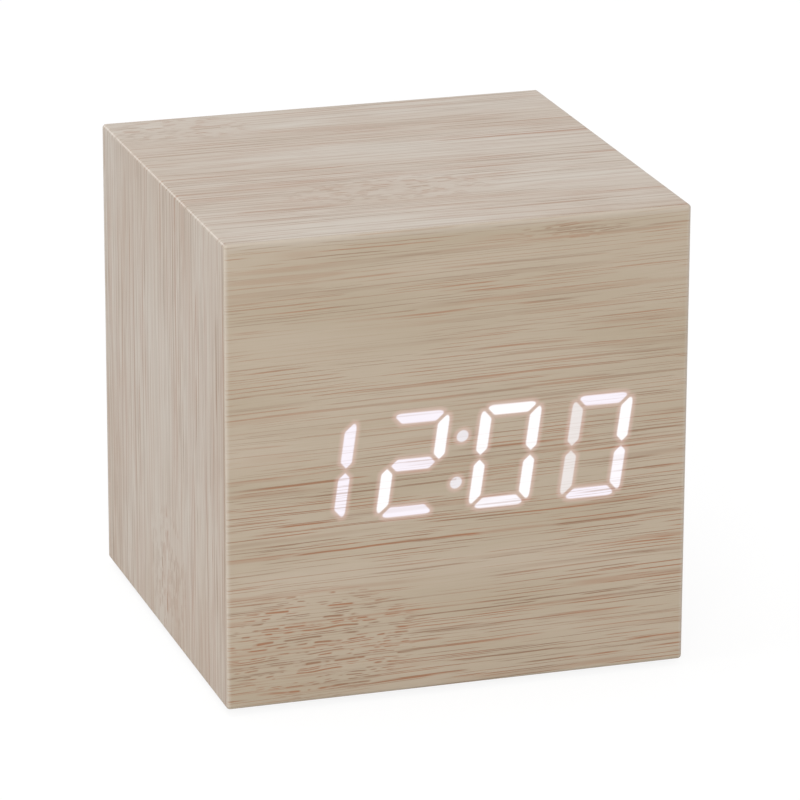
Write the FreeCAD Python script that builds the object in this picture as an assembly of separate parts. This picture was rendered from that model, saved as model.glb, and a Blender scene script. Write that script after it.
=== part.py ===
import FreeCAD, Part
import math
import os

# A cube clock with a lit display behind wood-grain film and a speaker for its voice.
# Millimetres. The front looks towards -Y, +Z is up, and the origin is the middle of the
# surface that the clock stands on. Left and right are as seen from the front.

V = FreeCAD.Vector
along_x, along_y, along_z = V(1, 0, 0), V(0, 1, 0), V(0, 0, 1)

# Case
body_width = 62.0
body_depth = 60.0
body_height = 62.0
board_thickness = 4.0
film_thickness = 0.3
edge_radius = 0.5
front_wrap = 1.5
pad_height = 0.8
pad_radius = 4.0
pad_edge_distance = 9.0
corner_block_size = 5.0
corner_block_length = 12.0
cut_overrun = 1.0

# Display: four slanted seven-segment digits with a colon between the pairs
digit_width = 8.26
digit_height = 13.85
digit_pitch = 12.38
digit_slope = 0.138
shown_digits = "1200"
display_height = 30.8
upright_width = 1.58
bar_height = 1.44
middle_bar_height = 1.62
upright_mitre_shift = 0.2
bar_mitre_shift = 0.38
middle_gap = 0.24
middle_bar_gap = 0.4
tip_edge_cut = 0.95
tip_mitre_cut = 0.5
tip_turn_in = 0.19
tip_turn_back = 0.56
apex_share = 0.46
colon_dot_radius = 0.82
colon_half_spacing = 3.1
reflector_width = 50.4
reflector_height = 19.0
window_clearance = 0.2
diffuser_thickness = 0.2
led_length = 1.6
led_width = 0.8
led_height = 0.5
led_air_gap = 0.4

# Display board and what it carries
board_side_gap = 0.4
circuit_board_thickness = 1.2
display_board_height = 30.0
display_screw_inset = 3.0
display_screw_radius = 0.8
display_screw_head_radius = 1.6
display_screw_head_height = 1.0
display_screw_bite = 3.2
screw_hole_clearance = 0.15
pilot_hole_clearance = 0.02
chips = {
    "clock_chip": {"place_share": (-0.11, -0.42), "length": 12.8, "width": 7.5, "height": 2.3, "legs": 10},
    "voice_chip": {"place_share": (-0.68, -0.23), "length": 4.9, "width": 3.9, "height": 1.5, "legs": 4},
    "driver_chip": {"place_share": (0.15, 0.25), "length": 9.9, "width": 3.9, "height": 1.5, "legs": 8},
}
chip_leg_width = 0.3
chip_leg_reach = 0.9
chip_leg_thickness = 0.2
chip_leg_drop = 0.1
crystal_radius = 1.0
crystal_length = 6.0
crystal_place_share = (0.49, -0.6)
capacitor_radius = 2.0
capacitor_height = 5.4
capacitor_base_height = 0.8
capacitor_pitch = 6.0
capacitor_place_share = (0.57, 0.57)
resistor_length = 2.0
resistor_width = 1.25
resistor_height = 0.5
resistor_count = 7
resistor_pitch = 2.6
resistor_place_share = (-0.72, -0.85)

# Rear cover and battery bay
cover_recess = 1.0
cover_thickness = 2.0
cover_side_gap = 0.2
cover_corner_radius = 0.8
bay_wall = 1.2
bay_lift = 0.4
cell_radius = 5.15
cell_length = 44.0
cell_nub_radius = 1.9
cell_nub_height = 0.9
cell_edge_radius = 0.5
cell_pitch = 10.7
cell_side_gap = 0.3
cell_floor_gap = 0.1
contact_gap = 0.1
cradle_rib_width = 1.2
cradle_rib_height = 2.0
cradle_rib_length = 32.0
door_thickness = 1.6
door_ledge = 0.9
door_gap = 0.2
door_seat_gap = 0.1
door_cell_distance = 0.9
door_corner_radius = 1.0
door_rib_width = 1.0
door_rib_length = 30.0
door_rib_cell_gap = 0.3
door_tongue_width = 9.0
door_tongue_length = 6.0
door_tongue_slit = 0.6
door_ridge_count = 4
door_ridge_pitch = 1.3
door_ridge_width = 0.6
door_ridge_depth = 0.4
door_lug_width = 5.0
door_lug_height = 0.9
door_lug_spacing = 26.0
thumb_scoop_radius = 4.2
thumb_scoop_depth = 0.9
cover_screw_radius = 1.0
cover_screw_head_radius = 1.8
cover_screw_head_height = 1.0
cover_screw_length = 9.0
screw_slot_length = 2.2
screw_slot_width = 0.45
screw_slot_depth = 0.6
pan_slot_length_share = 1.2
pan_slot_width_share = 0.25

# Battery contacts and springs
contact_thickness = 0.3
contact_width = 9.0
contact_tab_width = 2.4
contact_tab_reach = 2.2
contact_slot_gap = 0.2
spring_room = 3.2
spring_wire = 0.5
spring_base_radius = 3.4
spring_tip_radius = 1.9
spring_turns = 3
spring_seat_gap = 0.05

# Buttons, their switches and their board
button_x_share = (-0.057, -0.340, -0.623)
button_radius = 2.5
button_hole_gap = 0.1
button_proud = 0.6
button_crown_radius = 0.35
button_flange_radius = 3.2
button_flange_thickness = 0.8
button_flange_gap = 0.1
button_travel = 0.4
button_mark_depth = 0.2
button_mark_length = 2.2
button_mark_width = 0.45
switch_size = 4.5
switch_body_height = 3.2
switch_corner_radius = 0.4
switch_stem_radius = 1.2
switch_stem_gap = 0.1
switch_stem_depth = 1.1
switch_well_depth = 2.1
switch_board_depth = 4.9
switch_board_margin = 0.3
upper_row_drop = 3.9
lower_row_rise = 2.6
boss_radius = 1.8
board_screw_radius = 0.8
board_screw_head_radius = 1.5
board_screw_head_height = 0.9
board_screw_bite = 3.6

# Micro-size power socket and microphone
usb_width = 7.5
usb_narrow_width = 5.5
usb_height = 2.6
usb_slant_height = 1.1
usb_wall = 0.3
usb_mouth_depth = 0.6
usb_floor_thickness = 1.0
usb_opening_gap = 0.4
usb_opening_radius = 0.8
usb_tongue_width = 4.6
usb_tongue_height = 0.6
usb_tongue_length = 3.6
usb_tongue_lift = 0.15
usb_place_share = -0.453
microphone_radius = 2.0
microphone_height = 3.0
microphone_rim = 0.3
microphone_recess = 0.2
microphone_hole_radius = 0.6
microphone_place_share = -0.132

# Speaker: an oblong micro speaker seated in a ring on the cover
speaker_width = 15.0
speaker_height = 10.0
speaker_depth = 3.5
speaker_wall = 0.7
speaker_back = 0.6
speaker_place_share = 0.475
speaker_ring_gap = 0.15
speaker_ring_wall = 0.8
speaker_ring_height = 2.5
gasket_thickness = 0.5
gasket_width = 1.2
magnet_width = 8.4
magnet_height = 3.4
magnet_thickness = 1.3
coil_gap = 0.25
coil_wall = 0.4
coil_height = 1.2
cone_thickness = 0.25
cone_inset = 0.1
cone_dome_height = 0.3
cone_roll_width = 1.0
grille_hole_radius = 0.55
grille_columns = 6
grille_rows = 4
grille_column_pitch = 2.1
grille_row_pitch = 1.9

# Wiring
wire_diameter = 1.0
ribbon_width = 9.0
ribbon_thickness = 0.9
ribbon_socket_width = 11.0
ribbon_socket_height = 4.0
ribbon_socket_depth = 4.0
ribbon_socket_wall = 0.7
ribbon_x = -8.0
ribbon_front_rise = 9.5
ribbon_rear_run = 8.5
ribbon_front_run = 9.0
speaker_lead_pitch = 2.6
speaker_lead_offset = 1.0
# Turns of the leads: how far right, forward and up each lies from the lead's start
positive_lead_turns = [(0.0, 5.7, 0.0), (2.4, 7.7, 7.4), (6.4, 1.2, 12.0)]
negative_lead_turns = [
    (0.0, 6.2, 0.0),
    (-2.0, 9.0, 10.8),
    (-8.4, 8.5, 21.8),
    (-18.9, 6.7, 27.8),
    (-30.4, 4.7, 29.4),
    (-39.4, 0.7, 30.4),
]
speaker_lead_turns = [(0.0, 6.5, 0.0), (-3.6, 10.6, 0.4), (-10.4, 9.4, 0.7)]
run_share_of_arc = 0.45
curve_samples = 48

# Places worked out from the sizes above
body_bottom = pad_height
body_top = body_bottom + body_height
front_face = -body_depth / 2
rear_face = body_depth / 2
side_face = body_width / 2
wall_thickness = film_thickness + board_thickness
cavity_half_width = side_face - wall_thickness
cavity_bottom = body_bottom + wall_thickness
cavity_top = body_top - wall_thickness
film_back = front_face + film_thickness
front_board_back = front_face + wall_thickness
rear_board_end = rear_face - film_thickness

display_z = body_bottom + display_height
reflector_front = film_back + diffuser_thickness
display_board_front = front_board_back
display_board_back = display_board_front + circuit_board_thickness
display_board_half_width = cavity_half_width - board_side_gap
led_front = display_board_front - led_height

cover_face = rear_face - cover_recess
cover_back = cover_face - cover_thickness
cover_half_width = cavity_half_width - cover_side_gap
cover_bottom = cavity_bottom + cover_side_gap
cover_top = cavity_top - cover_side_gap
block_middle_x = cavity_half_width - corner_block_size / 2
block_low_z = cavity_bottom + corner_block_size / 2
block_high_z = cavity_top - corner_block_size / 2

bay_half_length = (
    cell_length + spring_room + 2 * contact_thickness + 3 * contact_gap
) / 2
bay_outer_bottom = cavity_bottom + corner_block_size + bay_lift
bay_bottom = bay_outer_bottom + bay_wall
bay_inner_height = 2 * cell_pitch + 2 * cell_radius + 2 * cell_side_gap
bay_top = bay_bottom + bay_inner_height
bay_outer_top = bay_top + bay_wall
bay_middle = (bay_bottom + bay_top) / 2
door_inner_face = cover_face - door_thickness
tray_rim = door_inner_face - door_seat_gap
cell_y = door_inner_face - door_cell_distance - cell_radius
bay_floor = cell_y - cell_radius - cell_floor_gap
bay_floor_back = bay_floor - bay_wall
recess_half_width = bay_half_length + door_ledge
recess_bottom = bay_bottom - door_ledge
recess_top = bay_top + door_ledge
door_half_width = recess_half_width - door_gap
door_bottom = recess_bottom + door_gap
door_top = recess_top - door_gap

upper_row_z = cover_top - upper_row_drop
lower_row_z = bay_outer_top + lower_row_rise
button_x = [share * cavity_half_width for share in button_x_share]
usb_x = usb_place_share * cavity_half_width
microphone_x = microphone_place_share * cavity_half_width
speaker_x = speaker_place_share * cavity_half_width
speaker_z = (bay_outer_top + cover_top) / 2
button_flange_top = cover_back - button_flange_gap
button_flange_back = button_flange_top - button_flange_thickness
button_board_back = cover_back - switch_board_depth
button_board_rear = button_board_back - circuit_board_thickness
switch_top = button_board_back + switch_body_height
switch_board_low_x = -(cavity_half_width - corner_block_size - switch_board_margin)
switch_board_high_x = speaker_x - speaker_width / 2 - speaker_ring_gap - speaker_ring_wall
switch_board_high_x -= switch_board_margin
switch_board_bottom = bay_outer_top + switch_board_margin
switch_board_top = cover_top - switch_board_margin
boss_x = (switch_board_low_x + boss_radius, switch_board_high_x - boss_radius)
speaker_front = cover_back - gasket_thickness
speaker_rear = speaker_front - speaker_depth


def block(x_low, x_high, y_low, y_high, z_low, z_high):
    return Part.makeBox(x_high - x_low, y_high - y_low, z_high - z_low, V(x_low, y_low, z_low))


def rod_y(x, z, radius, y_low, y_high):
    return Part.makeCylinder(radius, y_high - y_low, V(x, y_low, z), along_y)


def edges_along(shape, axis):
    found = []
    for edge in shape.Edges:
        run = edge.Vertexes[-1].Point - edge.Vertexes[0].Point
        if run.Length > 0 and run.cross(axis).Length < run.Length / 1000:
            found.append(edge)
    return found


def plate_y(x, z, width, height, radius, y_low, y_high):
    # A plate square to Y, centred on x and z, with rounded corners.
    shape = block(x - width / 2, x + width / 2, y_low, y_high, z - height / 2, z + height / 2)
    return shape.makeFillet(radius, edges_along(shape, along_y))


def racetrack(x, z, width, height, y_low, y_high):
    # A bar square to Y whose ends are full half rounds.
    straight = (width - height) / 2
    shape = block(x - straight, x + straight, y_low, y_high, z - height / 2, z + height / 2)
    for side in (-1, 1):
        shape = shape.fuse(rod_y(x + side * straight, z, height / 2, y_low, y_high))
    return shape.removeSplitter()


def prism_y(corners, y_low, y_high):
    # Corners are (x, z) pairs.
    points = [V(x, y_low, z) for x, z in corners]
    face = Part.Face(Part.makePolygon(points + points[:1]))
    return face.extrude(V(0, y_high - y_low, 0))


def group(shapes):
    return shapes[0] if len(shapes) == 1 else Part.Compound(shapes)


# Film and boards of the case

def rounded_body():
    body = block(-side_face, side_face, front_face, rear_face, body_bottom, body_top)
    return body.makeFillet(edge_radius, body.Edges)


def film_shell():
    # The film covers the boards outside and turns in over their rear rim.
    core = block(
        -side_face + film_thickness,
        side_face - film_thickness,
        film_back,
        rear_board_end,
        body_bottom + film_thickness,
        body_top - film_thickness,
    )
    mouth = block(
        -cavity_half_width,
        cavity_half_width,
        rear_board_end - cut_overrun,
        rear_face + cut_overrun,
        cavity_bottom,
        cavity_top,
    )
    return rounded_body().cut(core).cut(mouth)


def film_part(y_low, y_high):
    span = block(
        -side_face - cut_overrun,
        side_face + cut_overrun,
        y_low,
        y_high,
        body_bottom - cut_overrun,
        body_top + cut_overrun,
    )
    return film_shell().common(span)


def display_places():
    # Middle of each digit, from left to right.
    first = -digit_pitch * (len(shown_digits) - 1) / 2
    return [first + digit_pitch * index for index in range(len(shown_digits))]


def display_screw_places():
    # Midway between the window and the board's edge.
    x = display_board_half_width - display_screw_inset
    z = (reflector_height / 2 + window_clearance + display_board_height / 2) / 2
    return [(side * x, display_z + level * z) for side in (-1, 1) for level in (-1, 1)]


def front_panel():
    outer = side_face - film_thickness
    panel = block(
        -outer, outer, film_back, front_board_back, body_bottom + film_thickness, body_top - film_thickness
    )
    half_width = reflector_width / 2 + window_clearance
    half_height = reflector_height / 2 + window_clearance
    window = block(
        -half_width,
        half_width,
        film_back - cut_overrun,
        front_board_back + cut_overrun,
        display_z - half_height,
        display_z + half_height,
    )
    panel = panel.cut(window)
    hole_radius = display_screw_radius + pilot_hole_clearance
    for x, z in display_screw_places():
        panel = panel.cut(rod_y(x, z, hole_radius, front_board_back - display_screw_bite, front_board_back))
    return panel


def wall_panels():
    # Four boards with mitred corners; each outline is the outer edge, then the inner one.
    outer = side_face - film_thickness
    low, high = body_bottom + film_thickness, body_top - film_thickness
    inner = cavity_half_width
    outlines = {
        "top_panel": [(-outer, high), (outer, high), (inner, cavity_top), (-inner, cavity_top)],
        "bottom_panel": [(-outer, low), (outer, low), (inner, cavity_bottom), (-inner, cavity_bottom)],
        "left_panel": [(-outer, low), (-outer, high), (-inner, cavity_top), (-inner, cavity_bottom)],
        "right_panel": [(outer, low), (outer, high), (inner, cavity_top), (inner, cavity_bottom)],
    }
    return {name: prism_y(corners, front_board_back, rear_board_end) for name, corners in outlines.items()}


def block_places():
    return [(side * block_middle_x, z) for side in (-1, 1) for z in (block_low_z, block_high_z)]


def corner_blocks():
    shapes = []
    half = corner_block_size / 2
    hole_radius = cover_screw_radius + pilot_hole_clearance
    hole_depth = cover_screw_length - cover_thickness + cut_overrun
    for x, z in block_places():
        shape = block(x - half, x + half, cover_back - corner_block_length, cover_back, z - half, z + half)
        shapes.append(shape.cut(rod_y(x, z, hole_radius, cover_back - hole_depth, cover_back)))
    return group(shapes)


def anti_slip_pads():
    x = side_face - pad_edge_distance
    y = body_depth / 2 - pad_edge_distance
    shapes = []
    for place in [V(-x, -y, 0), V(x, -y, 0), V(-x, y, 0), V(x, y, 0)]:
        shapes.append(Part.makeCylinder(pad_radius, pad_height, place, along_z))
    return group(shapes)


# Display

lit_names = {
    "0": ["top", "bottom", "upper_left", "upper_right", "lower_left", "lower_right"],
    "1": ["upper_right", "lower_right"],
    "2": ["top", "upper_right", "middle", "lower_left", "bottom"],
}


def digit_outlines():
    # The seven segments about the digit's middle, upright, as (across, up) corners.
    half_w, half_h = digit_width / 2, digit_height / 2
    apex = apex_share * upright_width
    rest = upright_width - apex
    tip = half_h - upright_mitre_shift
    upright = [
        (half_w, tip - tip_edge_cut),
        (half_w - tip_turn_in, tip - tip_turn_back),
        (half_w - tip_mitre_cut, tip - tip_mitre_cut),
        (half_w - upright_width, tip - upright_width),
        (half_w - upright_width, middle_gap + rest),
        (half_w - apex, middle_gap),
        (half_w, middle_gap + apex),
    ]
    tip = half_w - bar_mitre_shift
    bar_end = [
        (tip - tip_edge_cut, half_h),
        (tip - tip_turn_back, half_h - tip_turn_in),
        (tip - tip_mitre_cut, half_h - tip_mitre_cut),
        (tip - bar_height, half_h - bar_height),
    ]
    bar = bar_end + [(-across, up) for across, up in reversed(bar_end)]
    tip = half_w - apex - middle_bar_gap
    half_bar = middle_bar_height / 2
    middle = [
        (tip, 0),
        (tip - half_bar, half_bar),
        (half_bar - tip, half_bar),
        (-tip, 0),
        (half_bar - tip, -half_bar),
        (tip - half_bar, -half_bar),
    ]
    outlines = {"middle": middle}
    for level, end, half in ((-1, "bottom", "lower"), (1, "top", "upper")):
        outlines[end] = [(across, level * up) for across, up in bar]
        for side, hand in ((-1, "left"), (1, "right")):
            outlines[half + "_" + hand] = [(side * across, level * up) for across, up in upright]
    return outlines


def slanted(outline, x):
    return [(x + across + digit_slope * up, display_z + up) for across, up in outline]


def colon_places():
    return [
        (level * colon_half_spacing * digit_slope, display_z + level * colon_half_spacing)
        for level in (-1, 1)
    ]


def segment_solids(y_low, y_high, lit_only=False):
    solids = [rod_y(x, z, colon_dot_radius, y_low, y_high) for x, z in colon_places()]
    for x, digit in zip(display_places(), shown_digits):
        for name, outline in digit_outlines().items():
            if name in lit_names[digit] or not lit_only:
                solids.append(prism_y(slanted(outline, x), y_low, y_high))
    return solids


def lit_segments():
    # The areas of the front film that the lit segments shine through.
    return group(segment_solids(front_face, film_back, lit_only=True))


def front_film():
    film = film_part(front_face - cut_overrun, front_face + front_wrap)
    return film.cut(Part.Compound(segment_solids(front_face, film_back, lit_only=True)))


def display_plate(y_low, y_high):
    half_w, half_h = reflector_width / 2, reflector_height / 2
    return block(-half_w, half_w, y_low, y_high, display_z - half_h, display_z + half_h)


def reflector_block():
    return display_plate(reflector_front, display_board_front).cut(
        Part.Compound(segment_solids(reflector_front - cut_overrun, display_board_front + cut_overrun))
    )


def segment_light_guides():
    return group(segment_solids(reflector_front, led_front - led_air_gap))


def led_chips():
    # One chip behind each segment and lying along it; behind a dot the chip is square.
    shapes = []
    for solid in segment_solids(led_front, display_board_front):
        box = solid.BoundBox
        middle = box.Center
        half_x = (led_length if box.XLength > 2 * led_length else led_width) / 2
        half_z = (led_length if box.ZLength > 2 * led_length else led_width) / 2
        shapes.append(
            block(
                middle.x - half_x,
                middle.x + half_x,
                led_front,
                display_board_front,
                middle.z - half_z,
                middle.z + half_z,
            )
        )
    return group(shapes)


def display_board():
    half = display_board_height / 2
    board = block(
        -display_board_half_width,
        display_board_half_width,
        display_board_front,
        display_board_back,
        display_z - half,
        display_z + half,
    )
    for x, z in display_screw_places():
        radius = display_screw_radius + screw_hole_clearance
        board = board.cut(rod_y(x, z, radius, display_board_front, display_board_back))
    return board


def cross_slot(x, z, length, width, y_low, y_high):
    flat = block(x - length / 2, x + length / 2, y_low, y_high, z - width / 2, z + width / 2)
    upright = block(x - width / 2, x + width / 2, y_low, y_high, z - length / 2, z + length / 2)
    return flat.fuse(upright)


def pan_screw(x, z, seat, bite, radius, head_radius, head_height, facing):
    # Head on the side that facing points to, along Y, with the shank the other way.
    head_end = seat + facing * head_height
    head = rod_y(x, z, head_radius, min(seat, head_end), max(seat, head_end))
    near = head_height / 10
    rim = [edge for edge in head.Edges if edge.Closed and abs(edge.CenterOfMass.y - head_end) < near]
    head = head.makeFillet(head_height / 3, rim)
    tip = seat - facing * bite
    shank = rod_y(x, z, radius, min(seat, tip), max(seat, tip))
    slot_floor = head_end - facing * head_height / 2
    slot_out = head_end + facing * head_height
    slot = cross_slot(
        x,
        z,
        head_radius * pan_slot_length_share,
        head_radius * pan_slot_width_share,
        min(slot_floor, slot_out),
        max(slot_floor, slot_out),
    )
    return head.fuse(shank).cut(slot).removeSplitter()


def display_board_screws():
    return group([
        pan_screw(
            x,
            z,
            display_board_back,
            circuit_board_thickness + display_screw_bite,
            display_screw_radius,
            display_screw_head_radius,
            display_screw_head_height,
            1,
        )
        for x, z in display_screw_places()
    ])


def board_place(shares):
    # A place on the display board, in shares of its half width and half height.
    return shares[0] * display_board_half_width, display_z + shares[1] * display_board_height / 2


def chip(place_share, length, width, height, legs_a_side):
    # A leaded chip on the rear of the display board, legs along its two long sides.
    x, z = board_place(place_share)
    low = display_board_back + chip_leg_drop
    body = block(x - length / 2, x + length / 2, low, low + height, z - width / 2, z + width / 2)
    pitch = length / (legs_a_side + 1)
    knee = low + height / 2
    shapes = [body]
    for index in range(legs_a_side):
        leg_x = x - length / 2 + pitch * (index + 1)
        x_low, x_high = leg_x - chip_leg_width / 2, leg_x + chip_leg_width / 2
        for side in (-1, 1):
            edge = z + side * width / 2
            bend = edge + side * chip_leg_reach / 2
            toe = edge + side * chip_leg_reach
            out = bend + side * chip_leg_thickness
            shapes.append(
                block(x_low, x_high, knee - chip_leg_thickness, knee, min(edge, out), max(edge, out))
            )
            shapes.append(block(x_low, x_high, display_board_back, knee, min(bend, out), max(bend, out)))
            shapes.append(
                block(
                    x_low,
                    x_high,
                    display_board_back,
                    display_board_back + chip_leg_thickness,
                    min(bend, toe),
                    max(bend, toe),
                )
            )
    return shapes[0].multiFuse(shapes[1:]).removeSplitter()


def clock_crystal():
    x, z = board_place(crystal_place_share)
    start = V(x - crystal_length / 2, display_board_back + crystal_radius, z)
    can = Part.makeCylinder(crystal_radius, crystal_length, start, along_x)
    return can.makeFillet(crystal_radius / 4, [edge for edge in can.Edges if edge.Closed])


def filter_capacitors():
    shapes = []
    middle_x, z = board_place(capacitor_place_share)
    for side in (-1, 1):
        x = middle_x + side * capacitor_pitch / 2
        base_top = display_board_back + capacitor_base_height
        base = block(
            x - capacitor_radius,
            x + capacitor_radius,
            display_board_back,
            base_top,
            z - capacitor_radius,
            z + capacitor_radius,
        )
        can = rod_y(x, z, capacitor_radius, base_top, display_board_back + capacitor_height)
        shapes.append(base.fuse(can))
    return group(shapes)


def chip_resistors():
    shapes = []
    first_x, z = board_place(resistor_place_share)
    for index in range(resistor_count):
        x = first_x + resistor_pitch * index
        shapes.append(
            block(
                x - resistor_width / 2,
                x + resistor_width / 2,
                display_board_back,
                display_board_back + resistor_height,
                z - resistor_length / 2,
                z + resistor_length / 2,
            )
        )
    return group(shapes)


# Rear cover, its door and screws

def grille_holes():
    holes = []
    for row in range(grille_rows):
        columns = grille_columns - row % 2
        z = speaker_z + grille_row_pitch * (row - (grille_rows - 1) / 2)
        for column in range(columns):
            x = speaker_x + grille_column_pitch * (column - (columns - 1) / 2)
            holes.append(rod_y(x, z, grille_hole_radius, cover_back - cut_overrun, cover_face + cut_overrun))
    return holes


def countersunk(x, z, gap):
    # The space of a countersunk screw in the cover, widened by gap.
    radius = cover_screw_radius + gap
    head_radius = cover_screw_head_radius + gap
    shank = rod_y(x, z, radius, cover_face - cover_screw_length - gap, cover_face)
    cone_start = V(x, cover_face - cover_screw_head_height, z)
    cone = Part.makeCone(radius, head_radius, cover_screw_head_height, cone_start, along_y)
    return shank.fuse(cone).removeSplitter()


def lug_places():
    return [side * door_lug_spacing / 2 for side in (-1, 1)]


def cell_places():
    return [bay_middle + cell_pitch * level for level in (-1, 0, 1)]


def contact_tab_places():
    # The two plates with a solder tab: the upper one on the left, the lower one on the right.
    lower, _, upper = cell_places()
    return [(-1, upper), (1, lower)]


def contact_x(side):
    # Inner and outer face of a contact plate on that side.
    outer = side * bay_half_length
    return outer - side * contact_thickness, outer


def rear_cover():
    middle_z = (cover_bottom + cover_top) / 2
    cover = plate_y(
        0,
        middle_z,
        2 * cover_half_width,
        cover_top - cover_bottom,
        cover_corner_radius,
        cover_back,
        cover_face,
    )
    cover = cover.cut(
        plate_y(
            0,
            bay_middle,
            2 * recess_half_width,
            recess_top - recess_bottom,
            door_corner_radius,
            cover_back - cut_overrun,
            cover_face + cut_overrun,
        )
    )
    tray = block(
        -bay_half_length - bay_wall,
        bay_half_length + bay_wall,
        bay_floor_back,
        tray_rim,
        bay_outer_bottom,
        bay_outer_top,
    )
    cover = cover.fuse(tray)
    cover = cover.cut(
        block(-bay_half_length, bay_half_length, bay_floor, tray_rim + cut_overrun, bay_bottom, bay_top)
    )
    for level in (-1, 1):
        z = bay_middle + level * cell_pitch / 2
        cover = cover.fuse(
            block(
                -cradle_rib_length / 2,
                cradle_rib_length / 2,
                bay_floor,
                bay_floor + cradle_rib_height,
                z - cradle_rib_width / 2,
                z + cradle_rib_width / 2,
            )
        )
    ring_width = speaker_width + 2 * (speaker_ring_gap + speaker_ring_wall)
    ring_height = speaker_height + 2 * (speaker_ring_gap + speaker_ring_wall)
    ring = racetrack(
        speaker_x, speaker_z, ring_width, ring_height, cover_back - speaker_ring_height, cover_back
    )
    ring = ring.cut(
        racetrack(
            speaker_x,
            speaker_z,
            speaker_width + 2 * speaker_ring_gap,
            speaker_height + 2 * speaker_ring_gap,
            cover_back - speaker_ring_height - cut_overrun,
            cover_back + cut_overrun,
        )
    )
    cover = cover.fuse(ring)
    for x in boss_x:
        boss = rod_y(x, lower_row_z, boss_radius, button_board_back, cover_back)
        hole = rod_y(
            x,
            lower_row_z,
            board_screw_radius + pilot_hole_clearance,
            button_board_back,
            button_board_back + board_screw_bite,
        )
        cover = cover.fuse(boss).cut(hole)
    for x in button_x:
        radius = button_radius + button_hole_gap
        cover = cover.cut(
            rod_y(x, upper_row_z, radius, cover_back - cut_overrun, cover_face + cut_overrun)
        )
    cover = cover.cut(
        plate_y(
            usb_x,
            lower_row_z,
            usb_width + 2 * usb_opening_gap,
            usb_height + 2 * usb_opening_gap,
            usb_opening_radius,
            cover_back - cut_overrun,
            cover_face + cut_overrun,
        )
    )
    cuts = grille_holes()
    cuts.append(
        rod_y(
            microphone_x,
            lower_row_z,
            microphone_hole_radius,
            cover_back - cut_overrun,
            cover_face + cut_overrun,
        )
    )
    for x, z in block_places():
        cuts.append(countersunk(x, z, screw_hole_clearance))
    for x in lug_places():
        half = door_lug_width / 2 + door_gap
        lug_floor = (cover_face + door_inner_face) / 2
        cuts.append(
            block(
                x - half,
                x + half,
                lug_floor - door_gap,
                cover_face + cut_overrun,
                recess_top - door_gap,
                recess_top + door_lug_height,
            )
        )
    cuts.append(
        rod_y(0, recess_bottom, thumb_scoop_radius, cover_face - thumb_scoop_depth, cover_face + cut_overrun)
    )
    for side, z in contact_tab_places():
        inner, outer = contact_x(side)
        half = contact_tab_width / 2 + contact_slot_gap
        cuts.append(
            block(
                min(inner, outer) - contact_slot_gap * (side > 0),
                max(inner, outer) + contact_slot_gap * (side < 0),
                bay_floor_back - cut_overrun,
                bay_floor,
                z - half,
                z + half,
            )
        )
    return cover.cut(Part.Compound(cuts)).removeSplitter()


def battery_door():
    door = plate_y(
        0,
        (door_bottom + door_top) / 2,
        2 * door_half_width,
        door_top - door_bottom,
        door_corner_radius - door_gap,
        door_inner_face,
        cover_face,
    )
    for x in lug_places():
        lug_floor = (cover_face + door_inner_face) / 2
        half = door_lug_width / 2
        lug_top = recess_top + door_lug_height - door_gap
        door = door.fuse(
            block(x - half, x + half, lug_floor, cover_face, door_top - cut_overrun, lug_top)
        )
    rib_end = cell_y + cell_radius + door_rib_cell_gap
    for level in (-1, 0, 1):
        z = bay_middle + level * cell_pitch
        door = door.fuse(
            block(
                -door_rib_length / 2,
                door_rib_length / 2,
                rib_end,
                door_inner_face,
                z - door_rib_width / 2,
                z + door_rib_width / 2,
            )
        )
    half = door_tongue_width / 2
    cuts = []
    for side in (-1, 1):
        inner = side * half
        outer = inner + side * door_tongue_slit
        cuts.append(
            block(
                min(inner, outer),
                max(inner, outer),
                door_inner_face - cut_overrun,
                cover_face + cut_overrun,
                door_bottom - cut_overrun,
                door_bottom + door_tongue_length,
            )
        )
    for index in range(door_ridge_count):
        z = door_bottom + door_ridge_pitch * (index + 1)
        cuts.append(
            block(
                -half + door_tongue_slit,
                half - door_tongue_slit,
                cover_face - door_ridge_depth,
                cover_face + cut_overrun,
                z - door_ridge_width / 2,
                z + door_ridge_width / 2,
            )
        )
    return door.cut(Part.Compound(cuts)).removeSplitter()


def cover_screws():
    shapes = []
    for x, z in block_places():
        slot = cross_slot(
            x,
            z,
            screw_slot_length,
            screw_slot_width,
            cover_face - screw_slot_depth,
            cover_face + cut_overrun,
        )
        shapes.append(countersunk(x, z, 0).cut(slot))
    return group(shapes)


# Batteries, springs and contacts

def nub_side(index):
    # The cells lie head to tail; the upper one has its nub on the left.
    return 1 if index % 2 else -1


def battery(index):
    z = cell_places()[index]
    side = nub_side(index)
    nub_end = side * (bay_half_length - contact_thickness - contact_gap)
    shoulder = nub_end - side * cell_nub_height
    flat_end = nub_end - side * cell_length
    low, high = min(shoulder, flat_end), max(shoulder, flat_end)
    can = Part.makeCylinder(cell_radius, high - low, V(low, cell_y, z), along_x)
    can = can.makeFillet(cell_edge_radius, [edge for edge in can.Edges if edge.Closed])
    nub = Part.makeCylinder(
        cell_nub_radius, abs(nub_end - shoulder), V(min(shoulder, nub_end), cell_y, z), along_x
    )
    near = cell_nub_height / 10
    rim = [edge for edge in nub.Edges if edge.Closed and abs(edge.CenterOfMass.x - nub_end) < near]
    nub = nub.makeFillet(cell_nub_height / 3, rim)
    return can.fuse(nub).removeSplitter()


def contact_plate(side, z_low, z_high, tab_z):
    inner, outer = contact_x(side)
    x_low, x_high = min(inner, outer), max(inner, outer)
    y_low = cell_y - contact_width / 2
    plate = block(x_low, x_high, y_low, cell_y + contact_width / 2, z_low, z_high)
    if tab_z is None:
        return plate
    half = contact_tab_width / 2
    tab = block(x_low, x_high, bay_floor_back - contact_tab_reach, y_low, tab_z - half, tab_z + half)
    return plate.fuse(tab).removeSplitter()


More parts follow.
